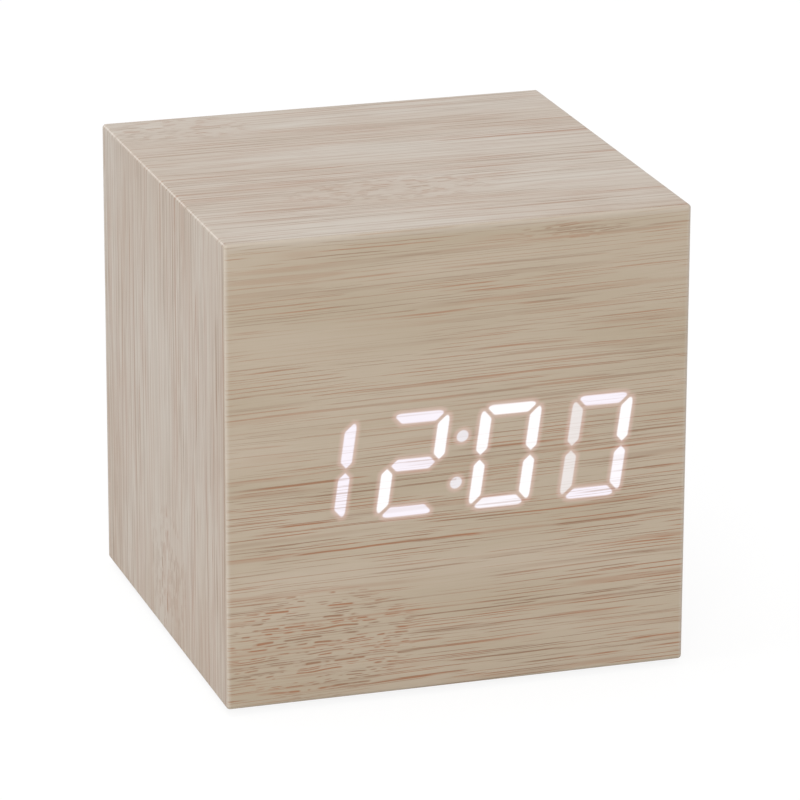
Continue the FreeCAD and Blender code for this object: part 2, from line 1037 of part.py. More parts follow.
def contact_plates():
    lower, middle, upper = cell_places()
    half = contact_width / 2
    return {
        "positive_contact": contact_plate(-1, upper - half, upper + half, upper),
        "left_bridge_contact": contact_plate(-1, lower - half, middle + half, None),
        "right_bridge_contact": contact_plate(1, middle - half, upper + half, None),
        "negative_contact": contact_plate(1, lower - half, lower + half, lower),
    }


def arc_between(start, corner, end):
    # The arc that leaves start towards corner and reaches end from it.
    chord_middle = (start + end) / 2
    half_chord = (end - start).Length / 2
    lean = corner - chord_middle
    if lean.Length < half_chord / 1e6:
        return Part.LineSegment(start, end).toShape()
    sagitta = half_chord * math.tan(math.atan2(lean.Length, half_chord) / 2)
    lean.normalize()
    return Part.Arc(start, chord_middle + lean * sagitta, end).toShape()


def biarc(start, leave, end, arrive):
    # Two arcs that join start to end and keep both directions.
    span = end - start
    total = leave + arrive
    a = 2 * (leave.dot(arrive) - 1)
    b = -2 * span.dot(total)
    c = span.dot(span)
    reach = (-b - math.sqrt(b * b - 4 * a * c)) / (2 * a)
    first, second = start + leave * reach, end - arrive * reach
    joint = (first + second) / 2
    return [arc_between(start, first, joint), arc_between(joint, second, end)]


def spring_point(turn, length):
    # A cone-shaped coil about X: its place and its direction after that many turns.
    share = turn / spring_turns
    angle = 2 * math.pi * turn
    radius = spring_base_radius + (spring_tip_radius - spring_base_radius) * share
    shrink = (spring_tip_radius - spring_base_radius) / spring_turns / (2 * math.pi)
    place = V(length * share, radius * math.cos(angle), radius * math.sin(angle))
    heading = V(
        length / spring_turns / (2 * math.pi),
        shrink * math.cos(angle) - radius * math.sin(angle),
        shrink * math.sin(angle) + radius * math.cos(angle),
    )
    heading.normalize()
    return place, heading


def battery_spring(index):
    side = nub_side(index)
    seat = -side * (bay_half_length - contact_thickness)
    length = spring_room + contact_gap - spring_wire - 2 * spring_seat_gap
    quarters = 4 * spring_turns
    stations = [spring_point(step / 4, length) for step in range(quarters + 1)]
    edges = []
    for (start, leave), (end, arrive) in zip(stations, stations[1:]):
        edges.extend(biarc(start, leave, end, arrive))
    path = Part.Wire(edges)
    start, heading = stations[0]
    circle = Part.Wire(Part.makeCircle(spring_wire / 2, start, heading))
    coil = Part.BRepOffsetAPI.MakePipeShell(path)
    coil.add(circle)
    coil.build()
    coil.makeSolid()
    solid = coil.shape()
    if side > 0:
        solid.translate(V(seat + spring_wire / 2 + spring_seat_gap, cell_y, cell_places()[index]))
        return solid
    solid.rotate(V(0, 0, 0), along_z, 180)
    solid.translate(V(seat - spring_wire / 2 - spring_seat_gap, cell_y, cell_places()[index]))
    return solid


def print_spring_gap():
    length = spring_room + contact_gap - spring_wire - 2 * spring_seat_gap
    steps = curve_samples * spring_turns
    points = [spring_point(step / curve_samples, length)[0] for step in range(steps + 1)]
    apart = curve_samples // 2
    least = min(
        (points[low] - points[high]).Length
        for low in range(steps + 1)
        for high in range(low + apart, steps + 1)
    )
    print("spring: least gap between turns", round(least - spring_wire, 3), "mm")


# Buttons, switches and the board that carries them

def button_mark(kind, x):
    face = cover_face + button_proud
    low, high = face - button_mark_depth, face + cut_overrun
    half_l, half_w = button_mark_length / 2, button_mark_width / 2
    if kind == "ring":
        ring = rod_y(x, upper_row_z, half_l, low, high)
        return ring.cut(rod_y(x, upper_row_z, half_l - button_mark_width, low, high))
    bar = block(x - half_l, x + half_l, low, high, upper_row_z - half_w, upper_row_z + half_w)
    if kind == "plus":
        bar = bar.fuse(
            block(x - half_w, x + half_w, low, high, upper_row_z - half_l, upper_row_z + half_l)
        )
    return bar


def button(kind, x):
    face = cover_face + button_proud
    cap = rod_y(x, upper_row_z, button_radius, button_flange_back, face)
    rim = [
        edge
        for edge in cap.Edges
        if edge.Closed and abs(edge.BoundBox.YMin - face) < button_proud / 10
    ]
    cap = cap.makeFillet(button_crown_radius, rim)
    flange = rod_y(x, upper_row_z, button_flange_radius, button_flange_back, button_flange_top)
    return cap.fuse(flange).cut(button_mark(kind, x)).removeSplitter()


def switch_body(x):
    body = plate_y(
        x, upper_row_z, switch_size, switch_size, switch_corner_radius, button_board_back, switch_top
    )
    well_radius = switch_stem_radius + switch_stem_gap
    return body.cut(rod_y(x, upper_row_z, well_radius, switch_top - switch_well_depth, switch_top))


def switch_stem(x):
    return rod_y(x, upper_row_z, switch_stem_radius, switch_top - switch_stem_depth, button_flange_back)


def button_board():
    board = block(
        switch_board_low_x,
        switch_board_high_x,
        button_board_rear,
        button_board_back,
        switch_board_bottom,
        switch_board_top,
    )
    for x in boss_x:
        radius = board_screw_radius + screw_hole_clearance
        board = board.cut(rod_y(x, lower_row_z, radius, button_board_rear, button_board_back))
    return board


def button_board_screws():
    return group([
        pan_screw(
            x,
            lower_row_z,
            button_board_rear,
            circuit_board_thickness + board_screw_bite,
            board_screw_radius,
            board_screw_head_radius,
            board_screw_head_height,
            -1,
        )
        for x in boss_x
    ])


def usb_outline(inset):
    # The socket's section: square above and slanted in below.
    half_w = usb_width / 2 - inset
    half_narrow = usb_narrow_width / 2 - inset / 2
    low, high = lower_row_z - usb_height / 2 + inset, lower_row_z + usb_height / 2 - inset
    slant = low + usb_slant_height
    return [
        (usb_x - half_narrow, low),
        (usb_x + half_narrow, low),
        (usb_x + half_w, slant),
        (usb_x + half_w, high),
        (usb_x - half_w, high),
        (usb_x - half_w, slant),
    ]


def usb_socket_shell():
    mouth = cover_face - usb_mouth_depth
    shell = prism_y(usb_outline(0), button_board_back, mouth)
    return shell.cut(prism_y(usb_outline(usb_wall), button_board_back - cut_overrun, mouth + cut_overrun))


def usb_socket_tongue():
    floor_end = button_board_back + usb_floor_thickness
    base = prism_y(usb_outline(usb_wall), button_board_back, floor_end)
    half = usb_tongue_width / 2
    low = lower_row_z + usb_tongue_lift
    tongue = block(
        usb_x - half,
        usb_x + half,
        button_board_back,
        floor_end + usb_tongue_length,
        low,
        low + usb_tongue_height,
    )
    return base.fuse(tongue).removeSplitter()


def microphone():
    end = button_board_back + microphone_height
    can = rod_y(microphone_x, lower_row_z, microphone_radius, button_board_back, end)
    port = microphone_radius - microphone_rim
    return can.cut(rod_y(microphone_x, lower_row_z, port, end - microphone_recess, end + cut_overrun))


# Speaker

def speaker_frame():
    shell = racetrack(speaker_x, speaker_z, speaker_width, speaker_height, speaker_rear, speaker_front)
    hollow = racetrack(
        speaker_x,
        speaker_z,
        speaker_width - 2 * speaker_wall,
        speaker_height - 2 * speaker_wall,
        speaker_rear + speaker_back,
        speaker_front + cut_overrun,
    )
    return shell.cut(hollow)


def speaker_magnet():
    low = speaker_rear + speaker_back
    return racetrack(speaker_x, speaker_z, magnet_width, magnet_height, low, low + magnet_thickness)


def speaker_cone():
    high = speaker_front - cone_inset
    width, height = speaker_width - 2 * speaker_wall, speaker_height - 2 * speaker_wall
    plate = racetrack(speaker_x, speaker_z, width, height, high - cone_thickness, high)
    roll_width, roll_height = width - 2 * cone_roll_width, height - 2 * cone_roll_width
    base = high - cone_thickness - cone_dome_height
    dish = racetrack(speaker_x, speaker_z, roll_width, roll_height, base, high)
    well = racetrack(
        speaker_x,
        speaker_z,
        roll_width - 2 * cone_thickness,
        roll_height - 2 * cone_thickness,
        base + cone_thickness,
        high + cut_overrun,
    )
    return plate.fuse(dish).cut(well).removeSplitter()


def voice_coil():
    high = speaker_front - cone_inset - cone_thickness - cone_dome_height
    low = high - coil_height
    inner_width, inner_height = magnet_width + 2 * coil_gap, magnet_height + 2 * coil_gap
    coil = racetrack(
        speaker_x, speaker_z, inner_width + 2 * coil_wall, inner_height + 2 * coil_wall, low, high
    )
    return coil.cut(
        racetrack(speaker_x, speaker_z, inner_width, inner_height, low - cut_overrun, high + cut_overrun)
    )


def speaker_gasket():
    ring = racetrack(speaker_x, speaker_z, speaker_width, speaker_height, speaker_front, cover_back)
    return ring.cut(
        racetrack(
            speaker_x,
            speaker_z,
            speaker_width - 2 * gasket_width,
            speaker_height - 2 * gasket_width,
            speaker_front - cut_overrun,
            cover_back + cut_overrun,
        )
    )


# Wiring: straight runs joined by arcs that touch them

def rounded_path(points, name):
    edges = []
    start = points[0]
    radii = []
    for before, corner, after in zip(points, points[1:], points[2:]):
        into, out = corner - before, after - corner
        turn = into.getAngle(out)
        cut_back = run_share_of_arc * min(into.Length, out.Length)
        radii.append(cut_back / math.tan(turn / 2))
        into.normalize()
        out.normalize()
        arc_start, arc_end = corner - into * cut_back, corner + out * cut_back
        edges.append(Part.LineSegment(start, arc_start).toShape())
        edges.append(arc_between(arc_start, corner, arc_end))
        start = arc_end
    edges.append(Part.LineSegment(start, points[-1]).toShape())
    print(name, "bend radii", [round(radius, 1) for radius in radii])
    return Part.Wire(edges)


def swept(path, section, name):
    pipe = Part.BRepOffsetAPI.MakePipeShell(path)
    pipe.add(section)
    pipe.build()
    pipe.makeSolid()
    solid = pipe.shape()
    area = Part.Face(section).Area
    print(name, "volume over section times length", round(solid.Volume / (area * path.Length), 4))
    return solid


def lead(points, name):
    path = rounded_path(points, name)
    section = Part.Wire(Part.makeCircle(wire_diameter / 2, points[0], points[1] - points[0]))
    return swept(path, section, name)


def lead_route(start, turns):
    # From the start through each turn, then straight back to the button board.
    points = [start] + [start + V(right, -forward, up) for right, forward, up in turns]
    return points + [V(points[-1].x, button_board_rear, points[-1].z)]


def battery_leads():
    lower, _, upper = cell_places()
    tab_y = bay_floor_back - contact_tab_reach
    left = -(bay_half_length - contact_thickness / 2)
    positive = lead_route(V(left, tab_y, upper), positive_lead_turns)
    negative = lead_route(V(-left, tab_y, lower), negative_lead_turns)
    return group([lead(positive, "positive lead"), lead(negative, "negative lead")])


def speaker_leads():
    shapes = []
    for level in (-1, 1):
        z = speaker_z + level * speaker_lead_pitch / 2
        points = lead_route(V(speaker_x - speaker_lead_offset, speaker_rear, z), speaker_lead_turns)
        shapes.append(lead(points, "speaker lead"))
    return group(shapes)


def ribbon_ends():
    # Mouth of each socket: on the button board, then on the display board.
    return (
        V(ribbon_x, button_board_rear - ribbon_socket_depth, speaker_z),
        V(ribbon_x, display_board_back + ribbon_socket_depth, display_z + ribbon_front_rise),
    )


def ribbon_cable():
    rear, front = ribbon_ends()
    inner_rear = rear + V(0, ribbon_socket_depth - ribbon_socket_wall, 0)
    inner_front = front - V(0, ribbon_socket_depth - ribbon_socket_wall, 0)
    points = [inner_rear, rear - V(0, ribbon_rear_run, 0), front + V(0, ribbon_front_run, 0), inner_front]
    path = rounded_path(points, "ribbon")
    half_w, half_t = ribbon_width / 2, ribbon_thickness / 2
    corners = [
        inner_rear + V(side * half_w, 0, level * half_t)
        for side, level in ((-1, -1), (1, -1), (1, 1), (-1, 1))
    ]
    return swept(path, Part.makePolygon(corners + corners[:1]), "ribbon")


def ribbon_sockets():
    rear, front = ribbon_ends()
    shapes = []
    for mouth, facing in ((rear, 1), (front, -1)):
        foot = mouth.y + facing * ribbon_socket_depth
        low, high = min(mouth.y, foot), max(mouth.y, foot)
        half_w, half_h = ribbon_socket_width / 2, ribbon_socket_height / 2
        body = block(
            mouth.x - half_w, mouth.x + half_w, low, high, mouth.z - half_h, mouth.z + half_h
        )
        slot_end = foot - facing * ribbon_socket_wall
        slot_out = mouth.y - facing * cut_overrun
        half_w, half_t = ribbon_width / 2, ribbon_thickness / 2
        slot = block(
            mouth.x - half_w,
            mouth.x + half_w,
            min(slot_end, slot_out),
            max(slot_end, slot_out),
            mouth.z - half_t,
            mouth.z + half_t,
        )
        shapes.append(body.cut(slot))
    return group(shapes)


def build_pieces():
    pieces = {
        "front_film": front_film(),
        "lit_segments": lit_segments(),
        "wrap_film": film_part(front_face + front_wrap, rear_face + cut_overrun),
        "front_panel": front_panel(),
        "corner_blocks": corner_blocks(),
        "anti_slip_pads": anti_slip_pads(),
        "diffuser_sheet": display_plate(film_back, reflector_front),
        "reflector_block": reflector_block(),
        "segment_light_guides": segment_light_guides(),
        "led_chips": led_chips(),
        "display_board": display_board(),
        "display_board_screws": display_board_screws(),
        "clock_crystal": clock_crystal(),
        "filter_capacitors": filter_capacitors(),
        "chip_resistors": chip_resistors(),
        "rear_cover": rear_cover(),
        "battery_door": battery_door(),
        "cover_screws": cover_screws(),
        "button_board": button_board(),
        "button_board_screws": button_board_screws(),
        "usb_socket_shell": usb_socket_shell(),
        "usb_socket_tongue": usb_socket_tongue(),
        "microphone": microphone(),
        "speaker_frame": speaker_frame(),
        "speaker_magnet": speaker_magnet(),
        "speaker_cone": speaker_cone(),
        "voice_coil": voice_coil(),
        "speaker_gasket": speaker_gasket(),
        "battery_leads": battery_leads(),
        "speaker_leads": speaker_leads(),
        "ribbon_cable": ribbon_cable(),
        "ribbon_sockets": ribbon_sockets(),
    }
    pieces.update(wall_panels())
    pieces.update(contact_plates())
    for name, sizes in chips.items():
        pieces[name] = chip(
            sizes["place_share"], sizes["length"], sizes["width"], sizes["height"], sizes["legs"]
        )
    for index, place in enumerate(("lower", "middle", "upper")):
        pieces[place + "_battery"] = battery(index)
        pieces[place + "_battery_spring"] = battery_spring(index)
    for name, kind, x in zip(("set", "up", "down"), ("ring", "plus", "minus"), button_x):
        pieces[name + "_button"] = button(kind, x)
        pieces[name + "_switch"] = switch_body(x)
        pieces[name + "_switch_stem"] = switch_stem(x)
    return pieces


print_spring_gap()
os.makedirs("parts", exist_ok=True)
for piece_name, piece_shape in build_pieces().items():
    if not piece_shape.isValid():
        print("not valid:", piece_name)
    piece_shape.exportStep("parts/" + piece_name + ".step")
    print(piece_name, len(piece_shape.Solids), "solids", round(piece_shape.Volume, 2), "mm3")
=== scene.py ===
import bmesh
import bpy
import math
from mathutils import Matrix, Vector


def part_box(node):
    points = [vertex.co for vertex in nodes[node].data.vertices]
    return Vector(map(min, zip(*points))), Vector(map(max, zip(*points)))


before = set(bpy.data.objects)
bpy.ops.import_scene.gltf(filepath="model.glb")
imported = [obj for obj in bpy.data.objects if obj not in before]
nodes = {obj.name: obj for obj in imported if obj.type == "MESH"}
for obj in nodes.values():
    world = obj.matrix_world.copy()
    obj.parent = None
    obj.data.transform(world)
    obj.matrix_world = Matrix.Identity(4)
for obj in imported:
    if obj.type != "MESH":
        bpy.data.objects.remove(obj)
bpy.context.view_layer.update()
millimetre = 0.001


# Shader helpers: a wrapped socket does sums, and a Graph makes one material.

class Socket:
    def __init__(self, graph, socket):
        self.graph = graph
        self.socket = socket

    def maths(self, operation, second=0.0, third=0.0):
        return self.graph.node("Math", {"operation": operation}, {0: self, 1: second, 2: third})

    def __add__(self, other):
        return self.maths("ADD", other)

    def __sub__(self, other):
        return self.maths("SUBTRACT", other)

    def __rsub__(self, other):
        return self.graph.node("Math", {"operation": "SUBTRACT"}, {0: other, 1: self})

    def __mul__(self, other):
        return self.maths("MULTIPLY", other)

    def __truediv__(self, other):
        return self.maths("DIVIDE", other)

    def __gt__(self, other):
        return self.maths("GREATER_THAN", other)

    def __lt__(self, other):
        return self.maths("LESS_THAN", other)

    def __abs__(self):
        return self.maths("ABSOLUTE")

    __radd__ = __add__
    __rmul__ = __mul__

    def beat(self, pitch):  # distance from the nearest whole number of pitches
        return self.maths("PINGPONG", pitch / 2)

    def nearest(self, pitch):  # which whole number of pitches is nearest
        return (self / pitch).maths("ROUND")

    def fade(self, start, end):  # 0 at start, 1 at end, smooth between; start may be the larger
        low, high = min(start, end), max(start, end)
        ends = (0.0, 1.0) if start < end else (1.0, 0.0)
        return self.graph.node(
            "MapRange",
            {"interpolation_type": "SMOOTHSTEP"},
            {"Value": self, "From Min": low, "From Max": high, "To Min": ends[0], "To Max": ends[1]},
        )


def fold(operation, values, third=0.0):
    result = values[0]
    for value in values[1:]:
        result = result.maths(operation, value, third)
    return result


def larger(*values):
    return fold("MAXIMUM", values)


def smaller(*values):  # a bare number may only come last
    return fold("MINIMUM", values)


def blend(share, first, second):  # first where the share is 0, second where it is 1
    return (second - first) * share + first


class Graph:
    def __init__(self, name):
        self.material = bpy.data.materials.new(name)
        self.material.use_nodes = True
        self.tree = self.material.node_tree
        self.tree.nodes.clear()

    def node(self, kind, settings=None, inputs=None, output=0):
        made = self.tree.nodes.new("ShaderNode" + kind)
        for key, value in (settings or {}).items():
            setattr(made, key, value)
        for key, value in (inputs or {}).items():
            if isinstance(value, Socket):
                self.tree.links.new(value.socket, made.inputs[key])
            else:
                made.inputs[key].default_value = value
        return Socket(self, made.outputs[output]) if made.outputs else None

    def place(self):  # x, y and z of the piece at rest, in millimetres
        where = self.node("TexCoord", output="Object")
        return [self.node("SeparateXYZ", {}, {0: where}, axis) / millimetre for axis in ("X", "Y", "Z")]

    def vector(self, x=0.0, y=0.0, z=0.0):
        return self.node("CombineXYZ", {}, {"X": x, "Y": y, "Z": z})

    def noise(self, vector, scale=1.0, detail=1.0):
        return self.node("TexNoise", {}, {"Vector": vector, "Scale": scale, "Detail": detail})

    def mix(self, factor, first, second):
        sockets = {0: factor, 6: colour(first), 7: colour(second)}
        return self.node("Mix", {"data_type": "RGBA"}, sockets, 2)

    def finish(self, bump=None, bumpDepth=1.0, **sockets):  # bumpDepth in millimetres
        inputs = {key.replace("_", " "): colour(value) for key, value in sockets.items()}
        if bump is not None:
            inputs["Normal"] = self.node("Bump", {}, {"Height": bump, "Distance": bumpDepth * millimetre})
        surface = self.node("BsdfPrincipled", {}, inputs)
        self.node("OutputMaterial", {}, {"Surface": surface})
        return self.material


def colour(value):  # sRGB 0 to 255, as a picture editor gives it
    if not isinstance(value, (tuple, list)):
        return value
    linear = [((part / 255 + 0.055) / 1.055) ** 2.4 for part in value]
    return (*linear, 1.0)


def dress(nodeNames, material):
    for nodeName in nodeNames:
        mesh = nodes[nodeName].data
        mesh.materials.clear()
        mesh.materials.append(material)


def box(nodeName):  # low and high corner of a piece, in millimetres
    return [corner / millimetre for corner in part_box(nodeName)]


# Wood-grain film. Sizes in millimetres. Along is the way the grain runs, and across is square to it.

frontY, baseZ = box("front_film")[0].y, box("front_film")[0].z
half, topZ = box("wrap_film")[1].x, box("wrap_film")[1].z
noiseMiddle = 0.5  # what a noise gives on average
rowStep = 3.7  # rows this far apart in a noise are unlike each other
sideShift = 400.0  # keeps the sides' part of each pattern away from the front's

# The ground lies between pale and warm, and a line between line and dull.
frontColours = {
    "pale": (185, 170, 151), "warm": (172, 156, 133),
    "line": (157, 106, 72), "dull": (141, 109, 83),
}
# The sides' colours are paler and greyer than the front's: a painted sheen, as the white surroundings gleam
# on the top and sides at a grazing view.
sideColoursWithSheen = {
    "pale": (194, 184, 172), "warm": (180, 163, 146),
    "line": (156, 114, 86), "dull": (148, 119, 95),
}

filmLook = {
    "roughness": 0.36,
    "roughnessSpread": 0.12,
    "bumpDepth": 0.02,
    # behind the front face: where the sides' look is full, and where the front's is
    "frontDepth": (0.35, 0.2),
    "frontRise": 0.016,  # the front's lines climb to the right
    "sideSpread": 1.35,  # how much wider apart the lines lie on the sides
    "sideStrength": 1.08,
    # of the lines on the front, which grows downwards
    "frontStrength": {"upper": 0.75, "lower": 1.3, "upperHeight": 44.0, "lowerHeight": 16.0},
    "darkest": 0.9,
    "tone": {"levels": (0.3, 0.7), "driftShare": 0.5, "calmShare": 0.25},
}

# Slow changes of the grain. Levels are those of a noise between which a change comes in.
drift = {"length": 45.0, "height": 8.0, "reach": 0.9}
wobble = {"length": 5.0, "height": 1.3, "reach": 0.08}
calm = {"length": 60.0, "height": 7.0, "shift": 21.7, "levels": (0.3, 0.55), "least": 0.55, "gain": 0.4}
fibres = {"length": 9.0, "height": 0.16, "frontShare": 0.6, "sideShare": 1.0}
clumps = {"length": 4.2, "height": 1.3, "seed": 5.0, "levels": (0.4, 0.5)}
dashWobble = {"length": 4.5, "height": 1.1, "seed": 11.0, "reach": 0.45}
tint = {"length": 18.0, "height": 1.5, "seed": 9.0, "levels": (0.38, 0.64)}

# Layers of lines. A line shows above a level of its noise.
lineLayers = [
    {"length": 15.0, "spacing": 0.78, "halfWidth": 0.09, "darkness": 0.95, "level": 0.44, "seed": 0.0},
    {"length": 9.0, "spacing": 0.42, "halfWidth": 0.065, "darkness": 0.8, "level": 0.42, "seed": 7.3},
    {"length": 24.0, "spacing": 2.6, "halfWidth": 0.45, "darkness": 0.32, "level": 0.46, "seed": 14.6},
]
sideLines = {
    "length": 50.0, "spacing": 1.15, "halfWidth": 0.14, "darkness": 0.7, "level": 0.38,
    "seed": 33.0,
}
dashes = {"length": 2.1, "spacing": 0.36, "halfWidth": 0.095, "darkness": 0.95, "level": 0.4, "seed": 21.0}
# how the lines drift, with height and reach in spacings, a line's full share, and how softly it comes in
lineShape = {
    "driftLength": 130.0, "driftHeight": 1.7, "driftReach": 1.5, "core": 0.3, "comeIn": 0.16, "seedStep": 4.0,
}

# Ovals on the front: across, up, half length, half height, and for a streak its darkness
spotEdge = (1.3, 0.5)  # where an oval begins and where it is full, as squares of shares of its size
dashPatches = [(-18.5, 8.5, 13.0, 7.5), (15.0, 60.9, 8.0, 1.2)]
calmPatches = [(-16.0, 49.0, 13.0, 3.5), (-1.0, 14.2, 7.0, 3.0), (8.0, 21.6, 6.0, 1.6)]
streaks = [
    (-19.0, 59.3, 14.0, 0.4, 0.26), (-23.0, 58.1, 9.0, 0.45, 0.3), (-25.0, 56.4, 7.0, 0.4, 0.26),
    (-2.0, 59.5, 12.0, 0.25, 0.34), (15.0, 61.4, 4.5, 0.16, 0.5), (14.0, 60.9, 5.5, 0.16, 0.55),
    (16.0, 60.4, 6.0, 0.14, 0.5), (19.0, 59.8, 12.0, 0.18, 0.55), (20.0, 40.4, 13.0, 0.2, 0.66),
    (-14.0, 40.2, 16.0, 0.18, 0.5), (10.0, 38.9, 12.0, 0.16, 0.5), (-4.0, 42.1, 12.0, 0.13, 0.6),
    (16.0, 43.5, 15.0, 0.17, 0.55), (14.0, 45.0, 10.0, 0.13, 0.5), (-22.0, 43.2, 9.0, 0.13, 0.4),
]
# the same on the sides: round the body from the top's middle, from front to rear
sideDashPatches = [(-84.0, -2.0, 9.0, 9.0), (-22.0, 24.0, 10.0, 6.0), (-4.0, -12.0, 15.0, 6.0)]
patchLook = {"lineLoss": 0.6, "calmLoss": 0.65, "streakGrain": 0.9, "streakLeast": 0.5}

# The front pales towards its top and side edges; along the top edge this is a painted highlight where the
# rounded edge meets the light from above.
paleEdgeAndHighlightLook = {"share": 0.5, "topWidth": 1.5, "sideWidth": 0.8, "fullWidth": 0.1}
# Pale lines along the edges, broken along the top ones: partly the film stretched paler at its folds, partly
# a painted highlight where the rounded edges catch the light.
foldAndSheenLook = {
    "colour": (236, 229, 222), "width": 0.28, "core": 1 / 3, "topShare": 0.75, "frontShare": 0.2,
    "breakLength": 2.2, "breakLevels": (0.25, 0.5), "least": 0.4,
}


def pattern(graph, along, across, size, detail=1.0):  # a noise as long and as high as size says
    place = graph.vector(along / size["length"], across / size["height"], size.get("seed", 0.0))
    return graph.noise(place, detail=detail)


def swing(graph, along, across, size, detail=1.0):  # a noise as a shift to either side
    return (pattern(graph, along, across, size, detail) - noiseMiddle) * size["reach"]


def lineField(graph, along, across, layer):  # thin lines, unevenly spaced, that come and go
    shape = lineShape
    spacing, width, level, seed = layer["spacing"], layer["halfWidth"], layer["level"], layer["seed"]
    size = {"length": shape["driftLength"], "height": shape["driftHeight"] * spacing, "seed": seed}
    place = across + pattern(graph, along, across, size, 0.0) * (shape["driftReach"] * spacing)
    row = graph.vector(along / layer["length"], place.nearest(spacing) * rowStep, seed + shape["seedStep"])
    shown = graph.noise(row).fade(level, level + shape["comeIn"])
    return place.beat(spacing).fade(width, width * shape["core"]) * shown * layer["darkness"]


def spot(along, across, middle, level, halfLength, halfHeight):  # an oval, soft at its edge
    a, b = (along - middle) / halfLength, (across - level) / halfHeight
    return (a * a + b * b).fade(*spotEdge)


def spotMask(along, across, spots):
    return larger(*[spot(along, across, *place) for place in spots])


def streakMask(along, across):
    return larger(*[spot(along, across, *place) * darkness for *place, darkness in streaks])


# pale lines along the edges: the film's own paler folds together with a painted highlight
def foldAndSheenMask(graph, y, fromSide, fromTop, fromFront):
    width, core = foldAndSheenLook["width"], foldAndSheenLook["width"] * foldAndSheenLook["core"]
    side, top, front = (distance.fade(width, core) for distance in (fromSide, fromTop, fromFront))
    whole = graph.noise(graph.vector(y / foldAndSheenLook["breakLength"]), detail=0.0).fade(*foldAndSheenLook["breakLevels"])
    topFoldAndSheen = side * top * blend(whole, foldAndSheenLook["least"], 1.0) * foldAndSheenLook["topShare"]
    return larger(topFoldAndSheen, side * front * foldAndSheenLook["frontShare"])


# where the front pales at its edges, a painted highlight along the top one
def paleEdgeAndHighlightMask(fromSide, fromTop):
    top = fromTop.fade(paleEdgeAndHighlightLook["topWidth"], paleEdgeAndHighlightLook["fullWidth"])
    side = fromSide.fade(paleEdgeAndHighlightLook["sideWidth"], paleEdgeAndHighlightLook["fullWidth"])
    return larger(top, side)


def woodFilm(name, withDisplay):
    look = filmLook
    graph = Graph(name)
    x, y, z = graph.place()
    fromSide, fromTop, fromFront = half - abs(x), topZ - z, y - frontY
    onFront = fromFront.fade(*look["frontDepth"])

    # the sides' grain runs round the body, and the front's from side to side
    girth = x + x.maths("SIGN") * fromTop
    along, across = girth + sideShift, y + smaller(fromSide, fromTop, z - baseZ)
    patches = spotMask(girth, across, sideDashPatches)
    across = across / look["sideSpread"]
    if withDisplay:
        level = z - x * look["frontRise"]
        along, across = blend(onFront, along, x), blend(onFront, across, level)
        patches = blend(onFront, patches, spotMask(x, z, dashPatches))

    slow = pattern(graph, along, across, drift)
    bent = across + (slow - noiseMiddle) * drift["reach"] + swing(graph, along, across, wobble, 0.0)
    stillness = pattern(graph, along, across + calm["shift"], calm, 0.0).fade(*calm["levels"])
    fibre = pattern(graph, along, bent, fibres)

    # how dark the lines, dashes and streaks make the film, from 0 to 1
    layers = [lineField(graph, along, bent, layer) for layer in lineLayers]
    layers.append(lineField(graph, along, bent, sideLines) * (1 - onFront))
    dark = larger(*layers) * (stillness * calm["gain"] + calm["least"])
    dark = dark * (1 - patches * patchLook["lineLoss"])
    if withDisplay:
        dark = dark * (1 - spotMask(x, z, calmPatches) * onFront * patchLook["calmLoss"])
    clump = pattern(graph, along, across, clumps).fade(*clumps["levels"])
    uneven = bent + swing(graph, along, across, dashWobble, 0.0)
    dark = larger(dark, lineField(graph, along, uneven, dashes) * patches * clump)
    if withDisplay:
        streakShare = fibre * patchLook["streakGrain"] + patchLook["streakLeast"]
        dark = larger(dark, streakMask(x, level) * onFront * streakShare)
    size = look["frontStrength"]
    frontStrength = blend(z.fade(size["upperHeight"], size["lowerHeight"]), size["upper"], size["lower"])
    dark = smaller(dark * blend(onFront, look["sideStrength"], frontStrength), look["darkest"])

    size = look["tone"]
    fibreShare = blend(onFront, fibres["sideShare"], fibres["frontShare"])
    tone = slow.fade(*size["levels"]) * size["driftShare"] + stillness * size["calmShare"]
    tone = tone + (fibre - noiseMiddle) * fibreShare
    dullness = pattern(graph, along, bent, tint).fade(*tint["levels"])
    # the sides' ground and lines, made paler by a painted sheen
    base = graph.mix(tone, sideColoursWithSheen["pale"], sideColoursWithSheen["warm"])
    ink = graph.mix(dullness, sideColoursWithSheen["line"], sideColoursWithSheen["dull"])
    if withDisplay:
        base = graph.mix(onFront, base, graph.mix(tone, frontColours["pale"], frontColours["warm"]))
        ink = graph.mix(onFront, ink, graph.mix(dullness, frontColours["line"], frontColours["dull"]))
        # the front paler at its edges, a painted highlight along the top edge, and its lines fade there
        edge = paleEdgeAndHighlightMask(fromSide, fromTop) * onFront * paleEdgeAndHighlightLook["share"]
        base = graph.mix(edge, base, sideColoursWithSheen["pale"])
        dark = dark * (1 - edge)
    base = graph.mix(dark, base, ink)
    # pale fold lines, partly the film's own and partly a painted highlight
    base = graph.mix(foldAndSheenMask(graph, y, fromSide, fromTop, fromFront), base, foldAndSheenLook["colour"])
    roughness = fibre * look["roughnessSpread"] + look["roughness"]
    sockets = {"Base_Color": base, "Roughness": roughness, "bump": 1 - dark, "bumpDepth": look["bumpDepth"]}
    if withDisplay:
        glow, glowColour = displayGlow(graph, x, z, dark)
        glow = glow * onFront
        sockets["Base_Color"] = graph.mix(glow, base, displayLook["unlitColour"])
        sockets["Emission_Color"] = graph.mix(glow, (0, 0, 0), glowColour)
        sockets["Emission_Strength"] = displayLook["strength"]
    return graph.finish(**sockets)


# The lit display, as a field of distances to the edges of the segments, so that it can glow softly.

